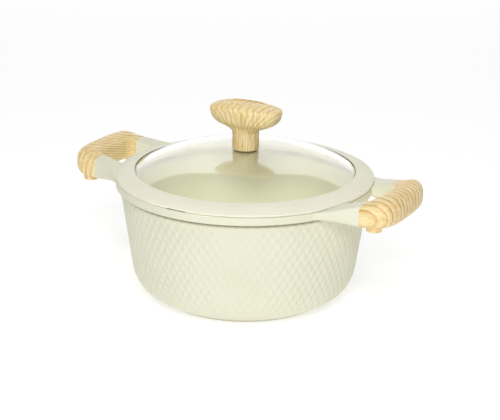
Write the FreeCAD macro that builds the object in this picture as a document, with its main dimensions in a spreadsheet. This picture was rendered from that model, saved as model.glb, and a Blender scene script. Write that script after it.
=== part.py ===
"""Two-handled cast casserole with a domed glass lid.

Millimetres. The origin is the centre of the foot's underside, +Z is up and the handles lie on the X axis.
The pot and everything fixed to it stay put; the lid, its ring and its knob lift off together along +Z.
"""
import math
import os

import FreeCAD
import Part
import Sketcher

V = FreeCAD.Vector
UP = V(0, 0, 1)

doc = FreeCAD.newDocument("casserole")

# ---------------------------------------------------------------- driving dimensions
dims = {
    "mouth_radius": 120.0,       # nominal 24 cm mouth
    "rim_top": 120.3,            # height of the seat the lid rests on
    "band_radius": 127.3,        # outside of the thick band round the mouth
    "band_height": 7.9,
    "wall_top_radius": 121.9,    # outside of the wall right under the band
    "wall_foot_radius": 110.1,   # outside of the wall where the bottom curve starts
    "wall_foot_height": 30.5,
    "corner_radius": 35.6,       # bottom curve, outside
    "corner_radius_in": 31.0,    # bottom curve, inside
    "corner_centre_in": 75.0,
    "floor_height": 5.5,
    "foot_radius": 86.5,
    "foot_height": 4.6,
    "plate_radius": 75.8,        # steel disc under the floor
    "plate_thickness": 1.4,
    "seat_gap": 0.3,             # lid ring to rim
    "ring_radius": 127.0,
    "ring_edge_height": 2.0,
    "ring_inner_radius": 108.4,  # where the glass shows
    "ring_rise": 7.9,            # ring's inner lip above its outer lower edge
    "skirt_depth": 6.1,          # ring's skirt, down inside the mouth
    "skirt_radius": 118.6,
    "glass_radius": 114.0,
    "glass_thickness": 4.0,
    "glass_hole_radius": 5.0,
    "crown_radius": 450.0,       # shallow middle of the dome
    "shoulder_radius": 130.0,    # tighter outer part of the dome
    "crown_reach": 60.0,         # radius where the two meet
    "knob_base": 149.1,
    "knob_stem_radius": 13.1,
    "gasket_thickness": 0.8,
    "screw_radius": 2.5,
    "insert_radius": 4.5,
    "insert_length": 14.0,
    "seam_x": 145.2,             # where each cast lug ends and its grip starts
    "lug_inner_y": 28.0,
    "lug_width": 20.9,
    "lug_bottom": 106.0,
    "lug_top": 127.5,
    "bar_inner_x": 151.8,        # inner side of the grip's bar
    "bar_outer_x": 177.4,
    "bar_half_height": 13.9,
    "bar_centre_z": 119.5,
    "boss_radius": 7.3,
    "boss_x": 156.5,
    "grip_screw_radius": 2.1,
}

# ---------------------------------------------------------------- derived dimensions


def tangent_point(centre_r, centre_z, radius, point_r, point_z):
    """Point where a line from the given point touches the lower outer side of a circle."""
    dr = point_r - centre_r
    dz = point_z - centre_z
    reach = math.hypot(dr, dz)
    angle = math.atan2(dz, dr) - math.acos(radius / reach)
    return centre_r + radius * math.cos(angle), centre_z + radius * math.sin(angle)


def on_circle(centre_r, centre_z, radius, z):
    """Outer radius of a circle's section at height z."""
    return centre_r + math.sqrt(radius ** 2 - (z - centre_z) ** 2)


d = dims
d["band_bottom"] = d["rim_top"] - d["band_height"]
d["corner_centre_z"] = d["corner_radius"]
d["corner_centre_r"] = d["wall_foot_radius"] - math.sqrt(
    d["corner_radius"] ** 2 - (d["corner_centre_z"] - d["wall_foot_height"]) ** 2)
d["foot_shoulder_r"] = on_circle(
    d["corner_centre_r"], d["corner_centre_z"], d["corner_radius"], d["foot_height"])
d["inner_corner_z"] = d["floor_height"] + d["corner_radius_in"]
d["inner_wall_foot_r"], d["inner_wall_foot_z"] = tangent_point(
    d["corner_centre_in"], d["inner_corner_z"], d["corner_radius_in"],
    d["mouth_radius"], d["rim_top"] - 0.8)
d["recess_depth"] = d["plate_thickness"] + 0.1
d["recess_radius"] = d["plate_radius"] + 0.2
d["ring_bottom"] = d["rim_top"] + d["seat_gap"]
d["ring_lip_z"] = d["ring_bottom"] + d["ring_rise"]
d["skirt_bottom"] = d["ring_bottom"] - d["skirt_depth"]
d["glass_top"] = d["knob_base"] - d["gasket_thickness"]


def dome_z(r, offset):
    """Height of the dome at radius r, measured on a surface `offset` under the top one."""
    crown = d["crown_radius"] - offset
    shoulder = d["shoulder_radius"] - offset
    sine = d["crown_reach"] / d["crown_radius"]
    crown_centre = d["glass_top"] - d["crown_radius"]
    span = d["crown_radius"] - d["shoulder_radius"]
    centre_r = span * sine
    centre_z = crown_centre + span * math.sqrt(1 - sine ** 2)
    if r <= centre_r + shoulder * sine:
        return crown_centre + math.sqrt(crown ** 2 - r ** 2)
    return centre_z + math.sqrt(shoulder ** 2 - (r - centre_r) ** 2)


under = d["glass_thickness"]
d["glass_join_r"] = d["crown_reach"]
d["glass_join_z"] = dome_z(d["crown_reach"], 0)
d["glass_edge_z"] = dome_z(d["glass_radius"], 0)
d["glass_join_under_r"] = d["crown_reach"] * (1 - under / d["crown_radius"])
d["glass_join_under_z"] = dome_z(d["glass_join_under_r"], under)
d["glass_edge_under_z"] = dome_z(d["glass_radius"], under)
d["crown_under_radius"] = d["crown_radius"] - under
d["shoulder_under_radius"] = d["shoulder_radius"] - under
d["glass_bottom"] = d["glass_top"] - under

sheet = doc.addObject("Spreadsheet::Sheet", "Dims")
for row, (alias, value) in enumerate(dims.items(), start=1):
    sheet.set("A%d" % row, alias)
    sheet.set("B%d" % row, "%.6f" % value)
    sheet.setAlias("B%d" % row, alias)
doc.recompute()


def pin_point(sketch, geometry, end, r, z):
    """Hold one end of a sketch line or arc at (r, z); each is an alias, a number or zero."""
    for kind, axis, coordinate in (("DistanceX", -2, r), ("DistanceY", -1, z)):
        if coordinate == 0:
            sketch.addConstraint(Sketcher.Constraint("PointOnObject", geometry, end, axis))
            continue
        value = dims[coordinate] if isinstance(coordinate, str) else coordinate
        index = sketch.addConstraint(Sketcher.Constraint(kind, -1, 1, geometry, end, value))
        if isinstance(coordinate, str):
            sketch.setExpression("Constraints[%d]" % index, "Dims.%s" % coordinate)


def number(coordinate):
    """Value of an alias, or the number itself."""
    return dims[coordinate] if isinstance(coordinate, str) else float(coordinate)


def draw_outline(sketch, outline):
    """Closed outline in (r, z), every corner held by the sheet's values or plain numbers.

    Each entry is (r, z) for a straight side to the next point, or (r, z, radius, bulge) for an arc,
    where bulge +1 bows to the right of the way to the next point and -1 to the left.
    """
    count = len(outline)
    for i, entry in enumerate(outline):
        start = V(number(entry[0]), number(entry[1]), 0)
        following = outline[(i + 1) % count]
        stop = V(number(following[0]), number(following[1]), 0)
        if len(entry) == 2:
            sketch.addGeometry(Part.LineSegment(start, stop), False)
            continue
        radius = number(entry[2])
        chord = stop - start
        half = chord.Length / 2
        sag = radius - math.sqrt(radius ** 2 - half ** 2)
        right = V(chord.y, -chord.x, 0).normalize()
        middle = (start + stop) * 0.5 + right * sag * entry[3]
        if entry[3] > 0:
            sketch.addGeometry(Part.Arc(start, middle, stop), False)
        else:
            sketch.addGeometry(Part.Arc(stop, middle, start), False)
    ends = []
    for i, entry in enumerate(outline):
        curve = sketch.Geometry[i]
        start = V(number(entry[0]), number(entry[1]), 0)
        forward = curve.StartPoint.distanceToPoint(start) < 1e-6
        ends.append((1, 2) if forward else (2, 1))
    for i, entry in enumerate(outline):
        following = (i + 1) % count
        sketch.addConstraint(
            Sketcher.Constraint("Coincident", i, ends[i][1], following, ends[following][0]))
        pin_point(sketch, i, ends[i][0], entry[0], entry[1])
        if len(entry) == 4:
            index = sketch.addConstraint(Sketcher.Constraint("Radius", i, number(entry[2])))
            if isinstance(entry[2], str):
                sketch.setExpression("Constraints[%d]" % index, "Dims.%s" % entry[2])


def turned_body(label, outline):
    """PartDesign body turned about Z from an outline in the XZ plane."""
    body = doc.addObject("PartDesign::Body", label + "_body")
    sketch = body.newObject("Sketcher::SketchObject", label + "_outline")
    plane = [f for f in body.Origin.OriginFeatures if f.Role == "XZ_Plane"][0]
    sketch.AttachmentSupport = [(plane, "")]
    sketch.MapMode = "FlatFace"
    draw_outline(sketch, outline)
    turn = body.newObject("PartDesign::Revolution", label + "_turn")
    turn.Profile = sketch
    turn.ReferenceAxis = (sketch, ["V_Axis"])
    turn.Angle = 360
    body.Tip = turn
    doc.recompute()
    return body


def feature(label, shape):
    """Plain feature that holds a finished shape."""
    item = doc.addObject("Part::Feature", label)
    item.Shape = shape
    return item


def cut(label, base, tool):
    item = doc.addObject("Part::Cut", label)
    item.Base = base
    item.Tool = tool
    doc.recompute()
    return item


def fuse(label, items):
    item = doc.addObject("Part::MultiFuse", label)
    item.Shapes = items
    item.Refine = True
    doc.recompute()
    return item


def cylinder(label, x, y, z, radius, height):
    """Upright cylinder; radius and height are an alias or a number."""
    item = doc.addObject("Part::Cylinder", label)
    for name, size in (("Radius", radius), ("Height", height)):
        if isinstance(size, str):
            item.setExpression(name, "Dims.%s" % size)
        else:
            setattr(item, name, size)
    item.Placement.Base = V(x, y, z)
    return item


def block(label, x, y, z, length, width, height):
    """Box given by its middle in X and Y and its underside."""
    item = doc.addObject("Part::Box", label)
    item.Length = length
    item.Width = width
    item.Height = height
    item.Placement.Base = V(x - length / 2, y - width / 2, z)
    return item


def oval(middle, across, half_width, up, half_height, squareness, points=28):
    """Closed smooth wire: an ellipse at squareness 2, nearly a rounded rectangle at 5."""
    power = 2.0 / squareness
    places = []
    for i in range(points):
        angle = 2 * math.pi * i / points
        c = math.cos(angle)
        s = math.sin(angle)
        a = math.copysign(abs(c) ** power, c) * half_width
        b = math.copysign(abs(s) ** power, s) * half_height
        places.append(middle + across * a + up * b)
    curve = Part.BSplineCurve()
    curve.interpolate(places, PeriodicFlag=True)
    return Part.Wire([curve.toShape()])


def blend(a, b, share):
    return a + (b - a) * share


# ---------------------------------------------------------------- cast pot body

shell = turned_body("pot_shell", [
    (0, "recess_depth"),
    ("recess_radius", "recess_depth"),
    ("recess_radius", 0),
    (d["foot_radius"] - 1.2, 0),
    ("foot_radius", 1.2),
    ("foot_radius", "foot_height"),
    ("foot_shoulder_r", "foot_height", "corner_radius", 1),
    ("wall_foot_radius", "wall_foot_height"),
    ("wall_top_radius", d["band_bottom"] - 0.6),
    (d["wall_top_radius"] + 0.6, "band_bottom"),
    (d["band_radius"] - 1.0, "band_bottom", 1.0, 1),
    ("band_radius", d["band_bottom"] + 1.0),
    ("band_radius", d["rim_top"] - 0.9, 0.9, 1),
    (d["band_radius"] - 0.9, "rim_top"),
    (d["mouth_radius"] + 0.8, "rim_top", 0.8, 1),
    ("mouth_radius", d["rim_top"] - 0.8),
    ("inner_wall_foot_r", "inner_wall_foot_z", "corner_radius_in", -1),
    ("corner_centre_in", "floor_height"),
    (0, "floor_height"),
])

# The lugs swell out of the band and turn into the sections that the grips carry on.
lug_middle_y = d["lug_inner_y"] + d["lug_width"] / 2
lug_middle_z = (d["lug_bottom"] + d["lug_top"]) / 2
lug_half_height = (d["lug_top"] - d["lug_bottom"]) / 2
seam_squareness = 4.5
# share of the way from the band to the seam: extra width, rise of the underside, drop of the top
lug_stations = [(0.00, 27.5, 6.6, 8.2), (0.25, 18.8, 6.2, 7.4), (0.50, 10.8, 4.4, 5.4),
                (0.76, 4.3, 1.9, 2.4), (1.00, 0.0, 0.0, 0.0)]
lug_start_x = 96.0


def lug_shape(side_x, side_y):
    wires = []
    for share, extra, rise, drop in lug_stations:
        x = blend(lug_start_x, d["seam_x"], share)
        inner = d["lug_inner_y"] + 2.0 * (1 - share)
        outer = d["lug_inner_y"] + d["lug_width"] + extra
        low = d["lug_bottom"] + rise
        high = d["lug_top"] - drop
        middle = V(side_x * x, side_y * (inner + outer) / 2, (low + high) / 2)
        wires.append(oval(middle, V(0, side_y, 0), (outer - inner) / 2, UP, (high - low) / 2,
                          seam_squareness))
    return Part.makeLoft(wires, True, False)


lugs = []
tang_width = 9.0
tang_height = 9.0
tang_reach = 162.0
for side_x in (1, -1):
    for side_y in (1, -1):
        corner = "%s%s" % ("a" if side_x > 0 else "b", "1" if side_y < 0 else "2")
        lugs.append(feature("lug_" + corner, lug_shape(side_x, side_y)))
        tang_middle = (d["seam_x"] - 4.0 + tang_reach) / 2
        lugs.append(block("tang_" + corner, side_x * tang_middle, side_y * lug_middle_y,
                          lug_middle_z - tang_height / 2, tang_reach - d["seam_x"] + 4.0,
                          tang_width, tang_height))
lug_group = fuse("lug_group", lugs)
# Nothing of a lug reaches into the mouth or over the seat of the lid.
mouth_space = cylinder("mouth_space", 0, 0, 90, 120.6, 60)
seat_space = cylinder("seat_space", 0, 0, d["rim_top"], 127.5, 20)
lug_trim = fuse("lug_trim", [mouth_space, seat_space])
lugs_trimmed = cut("lugs_trimmed", lug_group, lug_trim)
casting = fuse("casting", [shell, lugs_trimmed])

tapped = []
for side_x in (1, -1):
    for side_y in (1, -1):
        tapped.append(cylinder("tapped_%d" % len(tapped), side_x * d["boss_x"],
                               side_y * lug_middle_y, lug_middle_z - tang_height,
                               "grip_screw_radius", 2 * tang_height))
tapped_group = fuse("tapped_group", tapped)
pot_body = cut("pot_body", casting, tapped_group)

# ---------------------------------------------------------------- steel disc under the floor

base_plate = turned_body("base_plate", [
    (0, 0),
    (d["plate_radius"] - 0.4, 0),
    ("plate_radius", 0.4),
    ("plate_radius", "plate_thickness"),
    (0, "plate_thickness"),
])

# ---------------------------------------------------------------- grips

bend_along_y = 11.0          # the window's inner corners are quarter ellipses
bar_squareness = 2.7
corner_squareness = 3.6      # plan of the outside, from a lug round to the middle of the bar


def inner_point(turn):
    """Place on the window's edge; turn runs from 0 at a seam to 1 at the middle of the bar."""
    bend_share = 0.6
    if turn >= bend_share:
        straight = (turn - bend_share) / (1 - bend_share)
        return d["bar_inner_x"], (d["lug_inner_y"] - bend_along_y) * (1 - straight)
    angle = turn / bend_share * math.pi / 2
    return (blend(d["seam_x"], d["bar_inner_x"], math.sin(angle)),
            d["lug_inner_y"] - bend_along_y * (1 - math.cos(angle)))


def outer_point(turn):
    """Place on the grip's outside in plan, for the same turn."""
    power = 2.0 / corner_squareness
    return (blend(d["seam_x"], d["bar_outer_x"], math.sin(turn * math.pi / 2) ** power),
            (d["lug_inner_y"] + d["lug_width"]) * max(0.0, math.cos(turn * math.pi / 2)) ** power)


def grip_stations():
    """Sections from one lug round to the other: inner point, direction outwards, width, share of bar."""
    half = []
    for step in range(8):
        turn = step / 7.0
        inner = V(*inner_point(turn), 0)
        outer = V(*outer_point(turn), 0)
        width = (outer - inner).Length
        share = math.sin(min(1.0, turn / 0.5) * math.pi / 2)
        half.append((inner, (outer - inner).normalize(), width, share))
    mirrored = []
    for place, outwards, width, share in reversed(half[:-1]):
        mirrored.append((V(place.x, -place.y, 0), V(outwards.x, -outwards.y, 0), width, share))
    return half + mirrored


def grip_shape():
    wires = []
    for place, outwards, width, share in grip_stations():
        middle = place + outwards * (width / 2) + UP * blend(lug_middle_z, d["bar_centre_z"], share)
        half_height = blend(lug_half_height, d["bar_half_height"], share)
        squareness = blend(seam_squareness, bar_squareness, share)
        wires.append(oval(middle, outwards, width / 2, UP, half_height, squareness))
    return Part.makeLoft(wires, True, False)


def make_grip(label, side_x):
    shape = grip_shape()
    if side_x < 0:
        shape = shape.rotate(V(0, 0, 0), UP, 180)
    boss_bottom = d["lug_bottom"] - 3.0
    solids = [feature(label + "_arch", shape)]
    spaces = []
    for side_y in (1, -1):
        name = "%s_%d" % (label, len(spaces))
        x = side_x * d["boss_x"]
        y = side_y * lug_middle_y
        boss = cylinder(name + "_boss", x, y, boss_bottom, "boss_radius", 10.0)
        solids.append(boss)
        spaces.append(block(name + "_socket", side_x * (tang_reach + d["seam_x"] - 4) / 2, y,
                            lug_middle_z - tang_height / 2 - 0.2,
                            tang_reach - d["seam_x"] + 4.6, tang_width + 0.4, tang_height + 0.4))
        spaces.append(cylinder(name + "_hole", x, y, boss_bottom - 1, 2.7, 14.0))
        spaces.append(cylinder(name + "_head_seat", x, y, boss_bottom - 1, 5.0, 3.6))
    whole = fuse(label + "_solid", solids)
    space = fuse(label + "_space", spaces)
    return cut(label, whole, space)


grip_right = make_grip("grip_right", 1)
grip_left = make_grip("grip_left", -1)


def pan_screw(x, y, z, radius, length, head_radius, head_height):
    """Cross-recessed screw, head down at height z, shank upwards."""
    head = Part.makeCylinder(head_radius, head_height, V(x, y, z))
    head = head.makeFillet(head_height * 0.45, [head.Edges[2]])
    shank = Part.makeCylinder(radius, length, V(x, y, z + head_height))
    shape = head.fuse(shank)
    for turned in (0, 90):
        slot = Part.makeBox(head_radius * 1.1, 1.0, head_height * 0.55,
                            V(x - head_radius * 0.55, y - 0.5, z))
        slot.rotate(V(x, y, z), UP, turned)
        shape = shape.cut(slot)
    return shape


grip_screw_shapes = []
for side_x in (1, -1):
    for side_y in (1, -1):
        grip_screw_shapes.append(pan_screw(
            side_x * d["boss_x"], side_y * lug_middle_y, d["lug_bottom"] - 2.8,
            d["grip_screw_radius"] - 0.05, 14.0, 4.6, 2.3))
grip_screws = feature("grip_screws", Part.makeCompound(grip_screw_shapes))

# ---------------------------------------------------------------- lid glass and silicone ring

glass_dome = turned_body("glass_dome", [
    (0, "glass_bottom", "crown_under_radius", -1),
    ("glass_join_under_r", "glass_join_under_z", "shoulder_under_radius", -1),
    ("glass_radius", "glass_edge_under_z"),
    ("glass_radius", "glass_edge_z", "shoulder_radius", 1),
    ("glass_join_r", "glass_join_z", "crown_radius", 1),
    (0, "glass_top"),
])
glass_hole = cylinder("glass_hole", 0, 0, d["glass_bottom"] - 5, "glass_hole_radius", 15)
lid_glass = cut("lid_glass", glass_dome, glass_hole)

ring_blank = turned_body("ring_blank", [
    ("ring_inner_radius", d["ring_lip_z"] - 7.6),
    (d["ring_inner_radius"] + 4.2, "skirt_bottom"),
    (d["skirt_radius"] - 0.6, "skirt_bottom"),
    ("skirt_radius", d["skirt_bottom"] + 0.6),
    (d["skirt_radius"] + 0.7, "ring_bottom"),
    (d["ring_radius"] - 0.7, "ring_bottom", 0.7, 1),
    ("ring_radius", d["ring_bottom"] + 0.7),
    ("ring_radius", d["ring_bottom"] + d["ring_edge_height"], 3.0, 1),
    (d["ring_radius"] - 1.9, d["ring_bottom"] + d["ring_edge_height"] + 1.1, 44.0, 1),
    (d["ring_inner_radius"] + 0.6, "ring_lip_z", 0.9, 1),
    ("ring_inner_radius", d["ring_lip_z"] - 0.6),
])
ring_grooved = cut("ring_grooved", ring_blank, lid_glass)
# Steam slot: under the ring's flange and through its skirt, nearly midway between the handles.
vent_width = 21.0
vent_azimuth = 268.0
vent_blank = Part.makeBox(16.0, vent_width, d["skirt_depth"] + 2.0,
                          V(d["ring_radius"] - 12.0, -vent_width / 2, d["skirt_bottom"] - 1))
vent_space = feature("vent_space", vent_blank.rotate(V(0, 0, 0), UP, vent_azimuth))
lid_ring = cut("lid_ring", ring_grooved, vent_space)

# ---------------------------------------------------------------- knob and its fastening

stem = d["knob_stem_radius"]
stem_top = d["knob_base"] + 17.4
head_length = 36.7
# height above the stem, half length, half width: a flare up to the crease, then a low crown
head_sizes = [(0.0, 13.1, 13.1), (2.4, 16.0, 13.1), (4.2, 19.6, 13.3), (5.8, 24.0, 14.0),
              (7.4, 27.8, 15.7), (9.2, 30.8, 17.1), (11.6, 33.4, 17.9), (14.2, 35.1, 18.3),
              (17.2, 36.2, 18.5), (20.0, head_length, 18.6), (22.2, 36.5, 18.5), (23.7, 35.5, 17.9),
              (25.2, 32.4, 16.3), (26.7, 26.8, 13.4), (27.7, 19.5, 9.8)]


def head_shape():
    wires = []
    for height, half_length, half_width in head_sizes:
        squareness = blend(2.0, 3.0, (half_length - stem) / (head_length - stem))
        wires.append(oval(V(0, 0, stem_top + height), V(1, 0, 0), half_length,
                          V(0, 1, 0), half_width, max(squareness, 2.0)))
    return Part.makeLoft(wires, True, False)


knob_stem = cylinder("knob_stem", 0, 0, d["knob_base"], "knob_stem_radius",
                     stem_top - d["knob_base"])
knob_head = feature("knob_head", head_shape())
knob_solid = fuse("knob_solid", [knob_stem, knob_head])
insert_space = cylinder("insert_space", 0, 0, d["knob_base"] - 1, "insert_radius",
                        d["insert_length"] + 2.0)
knob = cut("knob", knob_solid, insert_space)

insert_blank = cylinder("insert_blank", 0, 0, d["knob_base"], d["insert_radius"] - 0.02,
                        "insert_length")
insert_bore = cylinder("insert_bore", 0, 0, d["knob_base"] - 1, d["screw_radius"] + 0.03,
                       d["insert_length"] + 2)
knob_insert = cut("knob_insert", insert_blank, insert_bore)

gasket_hole = d["screw_radius"] + 0.1
sleeve_radius = d["glass_hole_radius"] - 0.1
knob_gasket = turned_body("knob_gasket", [
    (gasket_hole, d["glass_bottom"] + 0.2),
    (sleeve_radius, d["glass_bottom"] + 0.2),
    (sleeve_radius, d["glass_top"]),
    (stem - 1.1, "glass_top"),
    (stem - 1.1, "knob_base"),
    (gasket_hole, "knob_base"),
])

under_top = d["glass_bottom"] - 0.25
knob_gasket_under = turned_body("knob_gasket_under", [
    (gasket_hole, under_top - 1.0),
    (11.0, under_top - 1.0),
    (11.0, under_top),
    (gasket_hole, under_top),
])
washer_top = under_top - 1.0
knob_washer = turned_body("knob_washer", [
    (gasket_hole, washer_top - 1.2),
    (9.0, washer_top - 1.2),
    (10.4, washer_top - 0.5),
    (10.4, washer_top),
    (gasket_hole, washer_top),
])
screw_head = 3.0
knob_screw = feature("knob_screw", pan_screw(
    0, 0, washer_top - 1.2 - screw_head, d["screw_radius"],
    d["knob_base"] + 12.0 - (washer_top - 1.2), 4.7, screw_head))

# ---------------------------------------------------------------- check and export
doc.recompute()
parts = {
    "pot_body": pot_body, "base_plate": base_plate,
    "grip_right": grip_right, "grip_left": grip_left, "grip_screws": grip_screws,
    "lid_glass": lid_glass, "lid_ring": lid_ring,
    "knob": knob, "knob_insert": knob_insert, "knob_screw": knob_screw,
    "knob_gasket": knob_gasket, "knob_gasket_under": knob_gasket_under,
    "knob_washer": knob_washer,
}
for item in doc.Objects:
    if "Invalid" in item.State or "Error" in item.State:
        raise RuntimeError("%s is not valid: %s" % (item.Name, item.State))
os.makedirs("parts", exist_ok=True)
for name, item in parts.items():
    item.Label = name
    shape = item.Shape
    if shape.isNull() or not shape.isValid():
        raise RuntimeError("%s has no valid shape" % name)
    shape.exportStep("parts/%s.step" % name)
    box = shape.BoundBox
    print("%-18s solids %d volume %9.0f  x %7.2f %7.2f  y %7.2f %7.2f  z %7.2f %7.2f" % (
        name, len(shape.Solids), shape.Volume, box.XMin, box.XMax, box.YMin, box.YMax,
        box.ZMin, box.ZMax))
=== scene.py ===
"""Looks of the two-handled casserole with a domed glass lid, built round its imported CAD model. Metres."""
import math

import bpy
from mathutils import Matrix, Vector
from mathutils.bvhtree import BVHTree


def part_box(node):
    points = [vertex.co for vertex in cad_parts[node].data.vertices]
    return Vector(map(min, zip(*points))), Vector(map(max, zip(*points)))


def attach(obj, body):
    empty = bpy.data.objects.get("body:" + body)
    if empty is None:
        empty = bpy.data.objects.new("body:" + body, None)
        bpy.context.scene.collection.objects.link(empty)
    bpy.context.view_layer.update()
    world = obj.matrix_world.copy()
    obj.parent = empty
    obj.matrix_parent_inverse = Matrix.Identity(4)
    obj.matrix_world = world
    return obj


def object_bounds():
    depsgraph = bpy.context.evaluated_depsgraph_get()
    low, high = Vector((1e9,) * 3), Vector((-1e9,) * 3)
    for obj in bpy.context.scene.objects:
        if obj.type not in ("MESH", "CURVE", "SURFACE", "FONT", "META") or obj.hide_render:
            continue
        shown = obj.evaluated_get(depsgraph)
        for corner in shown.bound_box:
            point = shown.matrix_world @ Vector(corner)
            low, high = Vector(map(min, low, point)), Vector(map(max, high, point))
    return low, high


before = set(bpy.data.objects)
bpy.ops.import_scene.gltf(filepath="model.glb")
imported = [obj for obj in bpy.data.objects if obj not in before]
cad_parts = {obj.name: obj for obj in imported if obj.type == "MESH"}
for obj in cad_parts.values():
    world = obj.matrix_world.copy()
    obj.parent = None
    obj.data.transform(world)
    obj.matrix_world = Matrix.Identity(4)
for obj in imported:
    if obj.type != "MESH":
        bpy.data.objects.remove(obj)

cad_low, cad_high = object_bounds()

# ---------------------------------------------------------------- sizes read from the frame
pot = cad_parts["pot_body"]
ring_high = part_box("lid_ring")[1]
knob_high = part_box("knob")[1]
RIM_CENTRE = Vector((0, 0, 0.1206))       # middle of the mouth, level with the rim
WALL_LIMIT = ring_high.x - 0.0030         # between the wall's radius and the band's
LIP_RADIUS = ring_high.x - 0.0183         # just outside the ring's inner wall
LIP_BOTTOM = ring_high.z - 0.0014         # where that wall dips behind the glass
BAND_BOTTOM = ring_high.z - 0.0161        # lower edge of the thick band round the mouth
FOOT_CREASE = 0.0041                      # where the bottom curve meets the foot


# ---------------------------------------------------------------- material helpers
def new_material(name):
    """Material with only a Principled shader; returns it with its node tree and the shader."""
    material = bpy.data.materials.new(name)
    material.use_nodes = True
    tree = material.node_tree
    shader = tree.nodes["Principled BSDF"]
    return material, tree, shader


def add(tree, kind, inputs=None, **settings):
    """New node with the given settings; each input is a value or the socket that feeds it."""
    node = tree.nodes.new(kind)
    for key, value in settings.items():
        setattr(node, key, value)
    for key, value in (inputs or {}).items():
        if isinstance(value, bpy.types.NodeSocket):
            tree.links.new(value, node.inputs[key])
        else:
            node.inputs[key].default_value = value
    return node


def math_node(tree, operation, a, b=0.0):
    """Result of a Math node on two values or sockets."""
    return add(tree, "ShaderNodeMath", {0: a, 1: b}, operation=operation).outputs[0]


def position(tree):
    """Place on the object in metres."""
    return add(tree, "ShaderNodeTexCoord").outputs["Object"]


def ramp(tree, factor, stops):
    """Colour from a ramp with the given (place, colour) stops."""
    node = add(tree, "ShaderNodeValToRGB", {"Fac": factor})
    elements = node.color_ramp.elements
    while len(elements) < len(stops):
        elements.new(0.5)
    for element, (place, colour) in zip(elements, stops):
        element.position = place
        element.color = (*colour, 1)
    return node.outputs["Color"]


def linear(r, g, b):
    """Linear colour from the 0 to 255 values that a screen shows."""
    def one(v):
        v /= 255
        return v / 12.92 if v <= 0.04045 else ((v + 0.055) / 1.055) ** 2.4
    return one(r), one(g), one(b)


def noise(tree, vector, scale, detail=3.0, roughness=0.5):
    """Value of a Noise node, about 0.5 on average."""
    return add(tree, "ShaderNodeTexNoise", {
        "Vector": vector, "Scale": scale, "Detail": detail, "Roughness": roughness}).outputs["Fac"]


def spread(tree, value, shader, socket, least, most, start=0.0, end=1.0):
    """Feed a shader's socket with a value mapped from start..end to least..most."""
    node = add(tree, "ShaderNodeMapRange", {
        "Value": value, "From Min": start, "From Max": end, "To Min": least, "To Max": most})
    tree.links.new(node.outputs["Result"], shader.inputs[socket])


def mix_colour(tree, share, first, second, blend_type="MIX"):
    """First colour with a share of the second blended in."""
    node = add(tree, "ShaderNodeMix", {"Factor": share, 6: first, 7: second},
               data_type="RGBA", blend_type=blend_type)
    return node.outputs[2]


def dot(tree, place, direction):
    """How far a place lies along a direction."""
    return add(tree, "ShaderNodeVectorMath", {0: place, 1: direction},
               operation="DOT_PRODUCT").outputs["Value"]


def height_of(tree, place):
    """Height of a place."""
    return add(tree, "ShaderNodeSeparateXYZ", {"Vector": place}).outputs["Z"]


def flat_radius(tree, place):
    """Distance from the pot's upright axis."""
    flat = add(tree, "ShaderNodeVectorMath", {0: place, 1: (1.0, 1.0, 0.0)}, operation="MULTIPLY")
    return add(tree, "ShaderNodeVectorMath", {0: flat.outputs[0]}, operation="LENGTH").outputs["Value"]


def bump(tree, shader, height, distance, strength):
    """Give a shader a fine relief of at most the given distance."""
    node = add(tree, "ShaderNodeBump", {"Height": height, "Distance": distance, "Strength": strength})
    tree.links.new(node.outputs["Normal"], shader.inputs["Normal"])


# ---------------------------------------------------------------- materials
WHITE = (1.0, 1.0, 1.0)
CREASE_SHADE_COLOUR = (0.50, 0.49, 0.40)
CREASE_SHADE_RAMP_HEIGHT = 0.2                         # height that the ramp of painted crease shade covers


def coat_material():
    """Cream ceramic coat: satin, finely pebbled, slightly uneven in tone, with painted shade in a strip
    under the band and in a line at the foot.
    """
    material, tree, shader = new_material("cream_coat")
    place = position(tree)
    cloud = noise(tree, place, 22.0, 2.0)
    fine = noise(tree, place, 900.0, 2.0)
    tone = math_node(tree, "ADD", math_node(tree, "MULTIPLY", cloud, 0.7),
                     math_node(tree, "MULTIPLY", fine, 0.3))
    colour = ramp(tree, tone, [(0.30, linear(226, 225, 201)), (0.70, linear(231, 230, 208))])
    # painted shade: the crease colour darkens a strip just under the band and a line where the bottom curve
    # meets the foot, standing in for the shadow under the band's overhang and the shade in the foot crease
    stops = [
        (FOOT_CREASE - 0.0010, WHITE), (FOOT_CREASE, CREASE_SHADE_COLOUR), (FOOT_CREASE + 0.0010, WHITE),
        (BAND_BOTTOM - 0.0048, WHITE), (BAND_BOTTOM - 0.0017, CREASE_SHADE_COLOUR), (BAND_BOTTOM, CREASE_SHADE_COLOUR),
        (BAND_BOTTOM + 0.0002, WHITE)]
    share = math_node(tree, "MULTIPLY", height_of(tree, place), 1 / CREASE_SHADE_RAMP_HEIGHT)
    crease_shade = ramp(tree, share, [(height / CREASE_SHADE_RAMP_HEIGHT, tone) for height, tone in stops])
    # the painted shade covers everything inside the band's radius, so the strip under the band also darkens
    # the inside of the wall below the rim
    wall = math_node(tree, "LESS_THAN", flat_radius(tree, place), WALL_LIMIT)
    shaded = mix_colour(tree, wall, colour, crease_shade, "MULTIPLY")
    tree.links.new(shaded, shader.inputs["Base Color"])
    shader.inputs["Specular IOR Level"].default_value = 0.35
    spread(tree, cloud, shader, "Roughness", 0.42, 0.50)
    bump(tree, shader, fine, 0.00004, 0.6)
    return material


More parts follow.
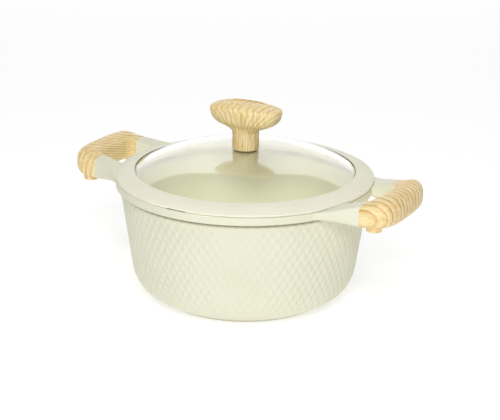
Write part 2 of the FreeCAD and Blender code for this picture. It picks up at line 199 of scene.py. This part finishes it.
def silicone_material():
    """Matt cream silicone with fine grain, with painted shade on the short inner wall above the glass."""
    material, tree, shader = new_material("cream_silicone")
    place = position(tree)
    cloud = noise(tree, place, 30.0, 2.0)
    fine = noise(tree, place, 1400.0, 2.0)
    colour = ramp(tree, cloud, [(0.3, linear(239, 237, 216)), (0.7, linear(243, 241, 221))])
    # painted shade: the lip's inner wall above the glass is coloured dark grey-olive to stand in for the
    # shadowed gap between the lip and the glass
    inner = math_node(tree, "LESS_THAN", flat_radius(tree, place), LIP_RADIUS)
    above = math_node(tree, "GREATER_THAN", height_of(tree, place), LIP_BOTTOM)
    lip_shade_mask = math_node(tree, "MULTIPLY", inner, above)
    shaded = mix_colour(tree, lip_shade_mask, colour, (*linear(128, 130, 108), 1))
    tree.links.new(shaded, shader.inputs["Base Color"])
    shader.inputs["Specular IOR Level"].default_value = 0.2
    spread(tree, fine, shader, "Roughness", 0.52, 0.66)
    bump(tree, shader, fine, 0.00003, 0.5)
    return material


def slow_warp(tree, place, reach):
    """Slow wander that keeps the growth layers from being regular."""
    slow = add(tree, "ShaderNodeMapping", {"Vector": place, "Scale": (1.0, 1.0, 0.7)})
    wander = noise(tree, slow.outputs["Vector"], 48.0, 3.0, 0.5)
    return math_node(tree, "MULTIPLY", math_node(tree, "SUBTRACT", wander, 0.5), reach)


def shell_layers(tree, place, centre, squash, growth):
    """Growth layers as shells round a centre, squashed per axis.

    growth is (layers in the first 100 mm, how evenly they are spaced, 1 being even).
    """
    away = add(tree, "ShaderNodeVectorMath", {0: place, 1: centre}, operation="SUBTRACT")
    away = add(tree, "ShaderNodeVectorMath", {0: away.outputs[0], 1: squash}, operation="MULTIPLY")
    radius = add(tree, "ShaderNodeVectorMath", {0: away.outputs[0]}, operation="LENGTH").outputs["Value"]
    radius = math_node(tree, "ADD", radius, slow_warp(tree, place, 0.010))
    layers, evenness = growth
    share = math_node(tree, "POWER", math_node(tree, "DIVIDE", radius, 0.1), evenness)
    return math_node(tree, "MULTIPLY", share, layers)


def plank_layers(tree, place, lie, turned_lie, turn_at, pitch):
    """Growth layers as sheets across lie, which turn to lie across turned_lie at the near end.

    turn_at is the pair of places along Y where the turn starts and ends; pitch is the layers' spacing.
    """
    start, end = turn_at
    split = add(tree, "ShaderNodeSeparateXYZ", {"Vector": place})
    share = add(tree, "ShaderNodeMapRange",
                {"Value": split.outputs["Y"], "From Min": start, "From Max": end},
                interpolation_type="SMOOTHSTEP")
    mixed = add(tree, "ShaderNodeMix", {
        "Factor": share.outputs["Result"], 2: dot(tree, place, lie), 3: dot(tree, place, turned_lie)},
        data_type="FLOAT")
    depth = math_node(tree, "ADD", mixed.outputs[0], slow_warp(tree, place, 0.0016))
    return math_node(tree, "DIVIDE", depth, pitch)


def fan_layers(tree, place, meeting_height, stem_reach, fan_lines, crown_lines, crown_start):
    """Upright lines that fan out from the stem, and wider ones nearly along Y on the knob's crown.

    The fan's lines aim at meeting_height on the axis, but run upright up to stem_reach above it.
    """
    split = add(tree, "ShaderNodeSeparateXYZ", {"Vector": place})
    height = math_node(tree, "SUBTRACT", split.outputs["Z"], meeting_height)
    height = math_node(tree, "MAXIMUM", height, stem_reach)
    fan = math_node(tree, "DIVIDE", split.outputs["X"], height)
    fan = math_node(tree, "MULTIPLY", fan, fan_lines)
    crown = math_node(tree, "MULTIPLY", dot(tree, place, (1.0, -0.19, 0.0)), crown_lines)
    share = add(tree, "ShaderNodeMapRange", {
        "Value": split.outputs["Z"], "From Min": crown_start - 0.0030, "From Max": crown_start + 0.0010})
    mixed = add(tree, "ShaderNodeMix", {"Factor": share.outputs["Result"], 2: fan, 3: crown},
                data_type="FLOAT")
    return math_node(tree, "ADD", mixed.outputs[0], slow_warp(tree, place, 1.5))


def wood_material(name, field, settings, fibre, least_calm):
    """Pale satin wood whose growth layers come from a field with its settings.

    The fibre noise is drawn out along the axes with a low value in fibre; least_calm is the share by
    which the growth layers are toned down even where they show best.
    """
    material, tree, shader = new_material(name)
    place = position(tree)
    ring = math_node(tree, "FRACT", field(tree, place, *settings))
    strength = noise(tree, place, 70.0, 2.0)
    wood = ramp(tree, ring, [
        (0.00, linear(252, 238, 194)), (0.36, linear(249, 230, 178)), (0.62, linear(242, 212, 150)),
        (0.80, linear(198, 146, 74)), (0.90, linear(230, 190, 120)), (1.00, linear(252, 238, 194))])
    plain = ramp(tree, strength, [(0.35, linear(252, 238, 193)), (0.65, linear(243, 217, 158))])
    calm = add(tree, "ShaderNodeMapRange",
               {"Value": strength, "From Min": 0.38, "From Max": 0.66,
                "To Min": least_calm, "To Max": 0.75})
    mixed = mix_colour(tree, calm.outputs["Result"], wood, plain)
    fine_place = add(tree, "ShaderNodeMapping", {"Vector": place, "Scale": fibre})
    fine = noise(tree, fine_place.outputs["Vector"], 520.0, 3.0, 0.6)
    fine_tone = ramp(tree, fine, [(0.34, linear(226, 202, 156)), (0.60, WHITE)])
    mixed = mix_colour(tree, 0.55, mixed, fine_tone, "MULTIPLY")
    tree.links.new(mixed, shader.inputs["Base Color"])
    spread(tree, fine, shader, "Roughness", 0.52, 0.42)
    shader.inputs["Specular IOR Level"].default_value = 0.35
    bump(tree, shader, math_node(tree, "ADD", fine, math_node(tree, "MULTIPLY", ring, 0.5)),
         0.00006, 0.4)
    return material


def glass_material():
    """Clear lid glass, duller edge on, that lets the lamps through so that the inside stays lit."""
    material, tree, shader = new_material("lid_glass")
    place = position(tree)
    shader.inputs["Base Color"].default_value = (0.985, 0.99, 0.965, 1)
    shader.inputs["Transmission Weight"].default_value = 1.0
    shader.inputs["IOR"].default_value = 1.5
    view = add(tree, "ShaderNodeLayerWeight", {"Blend": 0.5})
    edge = ramp(tree, view.outputs["Facing"], [(0.78, WHITE), (0.90, (0.62, 0.64, 0.59))])
    tree.links.new(edge, shader.inputs["Specular Tint"])
    smear = noise(tree, place, 40.0, 3.0)
    spread(tree, smear, shader, "Roughness", 0.05, 0.11, 0.45, 0.75)
    through = add(tree, "ShaderNodeBsdfTransparent", {"Color": (0.99, 0.99, 0.975, 1)})
    rays = add(tree, "ShaderNodeLightPath")
    passes = math_node(tree, "MAXIMUM", rays.outputs["Is Shadow Ray"], rays.outputs["Is Diffuse Ray"])
    mix = add(tree, "ShaderNodeMixShader",
              {0: passes, 1: shader.outputs["BSDF"], 2: through.outputs["BSDF"]})
    tree.links.new(mix.outputs["Shader"], tree.nodes["Material Output"].inputs["Surface"])
    return material


def steel_material(name, colour, scratch):
    """Turned metal: fine scratches in rings."""
    material, tree, shader = new_material(name)
    place = position(tree)
    radius = add(tree, "ShaderNodeVectorMath", {0: place}, operation="LENGTH").outputs["Value"]
    flat = add(tree, "ShaderNodeCombineXYZ", {"X": radius, "Y": height_of(tree, place)})
    lines = noise(tree, flat.outputs["Vector"], scratch, 4.0, 0.7)
    tone = ramp(tree, lines, [(0.3, tuple(c * 0.75 for c in colour)), (0.7, colour)])
    tree.links.new(tone, shader.inputs["Base Color"])
    shader.inputs["Metallic"].default_value = 1.0
    spread(tree, lines, shader, "Roughness", 0.28, 0.42)
    bump(tree, shader, lines, 0.00002, 0.5)
    return material


def gasket_material():
    """Dark warm silicone washers."""
    material, tree, shader = new_material("grey_silicone")
    place = position(tree)
    fine = noise(tree, place, 1200.0, 2.0)
    colour = ramp(tree, fine, [(0.3, linear(140, 120, 82)), (0.7, linear(156, 136, 98))])
    tree.links.new(colour, shader.inputs["Base Color"])
    spread(tree, fine, shader, "Roughness", 0.5, 0.65)
    bump(tree, shader, fine, 0.00003, 0.4)
    return material


coat = coat_material()
steel = steel_material("screw_steel", (0.56, 0.56, 0.54), 900.0)
gasket = gasket_material()
finishes = {
    "pot_body": coat,
    "lid_ring": silicone_material(),
    "lid_glass": glass_material(),
    "base_plate": steel_material("induction_steel", (0.62, 0.62, 0.60), 700.0),
    "grip_screws": steel,
    "knob_screw": steel,
    "knob_washer": steel,
    "knob_insert": steel_material("insert_brass", (0.78, 0.60, 0.30), 900.0),
    "knob_gasket": gasket,
    "knob_gasket_under": gasket,
    "grip_right": wood_material(
        "beech_right", shell_layers, ((0.150, -0.056, 0.116), (0.50, 1.0, 0.80), (15.5, 0.95)),
        (0.08, 1.0, 0.5), 0.05),
    "grip_left": wood_material(
        "beech_left", plank_layers,
        ((0.0, 0.28, 1.0), (-0.42, 0.0, 0.08), (-0.028, -0.043), 0.0025), (1.0, 0.08, 1.0), 0.15),
    "knob": wood_material(
        "beech_knob", fan_layers, (0.1547, 0.0113, 5.2, 150.0, knob_high.z - 0.0050),
        (1.0, 0.30, 0.12), 0.42),
}
for node, finish in finishes.items():
    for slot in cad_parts[node].material_slots:
        slot.material = finish


# ---------------------------------------------------------------- faceted wall
def new_piece(name, points, faces, material, body):
    """Add a smooth-shaded mesh that rides on a body."""
    mesh = bpy.data.meshes.new(name)
    mesh.from_pydata(points, [], faces)
    mesh.validate()
    mesh.polygons.foreach_set("use_smooth", [True] * len(mesh.polygons))
    mesh.materials.append(material)
    piece = bpy.data.objects.new(name, mesh)
    bpy.context.collection.objects.link(piece)
    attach(piece, body)


COLUMNS = 172             # columns of diamonds round the wall, neighbours half a diamond up or down
ROWS = 7.75               # diamonds one above the other
RELIEF = 0.00150          # height of a diamond's middle
WALL_BOTTOM = 0.0085      # lower and upper edge of the relief
WALL_TOP = 0.1118
FADE_BOTTOM = 0.006       # reach over which the relief fades out at its edges
FADE_TOP = 0.003
SINK = 0.0005             # how deep the relief's edges sink into the wall
SOFTNESS = 0.12           # rounding of the diamonds' ridges, in columns
STEPS_ROUND = COLUMNS * 4
STEPS_UP = 140


def wall_radii():
    """Outside of the cast wall at each height, found on the CAD body away from its lugs."""
    mesh = pot.data
    tree = BVHTree.FromPolygons([v.co[:] for v in mesh.vertices],
                                [p.vertices[:] for p in mesh.polygons])
    found = []
    for step in range(STEPS_UP + 1):
        z = WALL_BOTTOM + (WALL_TOP - WALL_BOTTOM) * step / STEPS_UP
        hit = tree.ray_cast(Vector((0.0, 0.3, z)), Vector((0, -1, 0)))[0]
        found.append((hit.y, z))
    return found


def soft(value):
    """Absolute value with its corner rounded off."""
    return math.hypot(value, SOFTNESS) - SOFTNESS


def lozenge(across, up):
    """Height of staggered diamonds that meet edge to edge, 1 on their middles and 0 between them."""
    best = 0.0
    for column in (math.floor(across), math.floor(across) + 1):
        shift = 0.5 * (column % 2)
        row = round(up - shift) + shift
        reach = soft(across - column) + 2 * soft(up - row)
        best = max(best, 1.0 - reach)
    return best


def faceted_wall():
    """Skin of staggered diamonds that lies on the cast wall."""
    profile = wall_radii()
    along = [0.0]
    for (r0, z0), (r1, z1) in zip(profile, profile[1:]):
        along.append(along[-1] + math.hypot(r1 - r0, z1 - z0))
    pitch = along[-1] / ROWS
    points = []
    for (radius, z), distance in zip(profile, along):
        fade = min(1.0, distance / FADE_BOTTOM, (along[-1] - distance) / FADE_TOP)
        for step in range(STEPS_ROUND):
            across = COLUMNS * step / STEPS_ROUND
            height = lozenge(across, distance / pitch)
            r = radius + RELIEF * height * fade - SINK * (1 - fade)
            angle = 2 * math.pi * step / STEPS_ROUND
            points.append((r * math.cos(angle), r * math.sin(angle), z))
    faces = []
    for row in range(STEPS_UP):
        for step in range(STEPS_ROUND):
            following = (step + 1) % STEPS_ROUND
            low = row * STEPS_ROUND
            high = low + STEPS_ROUND
            faces.append((low + step, low + following, high + following, high + step))
    new_piece("faceted_wall", points, faces, coat, "pot")


faceted_wall()


# ---------------------------------------------------------------- camera, floor and light
def make_camera():
    """Camera in front of the pot, round to its right and a little above it."""
    azimuth = math.radians(28.2)
    elevation = math.radians(17.73)
    back = Vector((math.sin(azimuth) * math.cos(elevation),
                   -math.cos(azimuth) * math.cos(elevation), math.sin(elevation)))
    data = bpy.data.cameras.new("camera")
    data.sensor_width = 36.0
    data.lens = 111.2
    camera = bpy.data.objects.new("camera", data)
    bpy.context.collection.objects.link(camera)
    aim = (-back).to_track_quat("-Z", "Y").to_matrix().to_4x4()
    roll = Matrix.Rotation(math.radians(0.75), 4, "Z")
    tilt = Matrix.Rotation(math.radians(-1.287), 4, "X")
    pan = Matrix.Rotation(math.radians(-0.178), 4, "Y")
    distance = 1.524
    camera.matrix_world = Matrix.Translation(RIM_CENTRE + back * distance) @ aim @ roll @ tilt @ pan
    bpy.context.scene.camera = camera


def area_light(name, place, target, width, height, power):
    """White rectangular lamp at a place, facing a target."""
    data = bpy.data.lights.new(name, "AREA")
    data.shape = "RECTANGLE"
    data.size = width
    data.size_y = height
    data.energy = power
    lamp = bpy.data.objects.new(name, data)
    bpy.context.collection.objects.link(lamp)
    lamp.location = place
    lamp.rotation_euler = (Vector(target) - Vector(place)).to_track_quat("-Z", "Y").to_euler()
    return lamp


def make_floor():
    """Pale studio floor that glows a little, so that it carries hardly any shadow."""
    material, tree, shader = new_material("floor")
    shader.inputs["Base Color"].default_value = (0.55, 0.55, 0.55, 1)
    shader.inputs["Roughness"].default_value = 1.0
    shader.inputs["Specular IOR Level"].default_value = 0.0
    shader.inputs["Emission Color"].default_value = (1.0, 1.0, 1.0, 1)
    shader.inputs["Emission Strength"].default_value = 0.61
    half = 6.0
    mesh = bpy.data.meshes.new("floor")
    mesh.from_pydata([(-half, -half, 0), (half, -half, 0), (half, half, 0), (-half, half, 0)], [],
                     [(0, 1, 2, 3)])
    mesh.materials.append(material)
    floor = bpy.data.objects.new("floor", mesh)
    floor.location.z = cad_low.z - 0.0002
    bpy.context.collection.objects.link(floor)


def make_world():
    """Faint white light from all round."""
    world = bpy.data.worlds.new("studio")
    world.use_nodes = True
    background = world.node_tree.nodes["Background"]
    background.inputs["Color"].default_value = (1.0, 1.0, 1.0, 1)
    background.inputs["Strength"].default_value = 0.13
    bpy.context.scene.world = world


make_camera()
make_floor()
make_world()
area_light("key", (0.74, -1.60, 1.34), (0, 0, 0.10), 0.7, 0.7, 24.5)
area_light("top", (0.28, -0.52, 2.1), (0, 0, 0.12), 1.0, 1.0, 14.0)
inside = area_light("inside", (0.0, 0.0, 0.112), (0, 0, 0), 0.14, 0.14, 0.036)
inside.visible_camera = False
inside.visible_glossy = False
inside.visible_transmission = False
area_light("backdrop", (-1.04, 1.94, 0.98), (0, 0, 0.98), 5.2, 1.96, 40.0)
bpy.context.scene.view_settings.view_transform = "Standard"
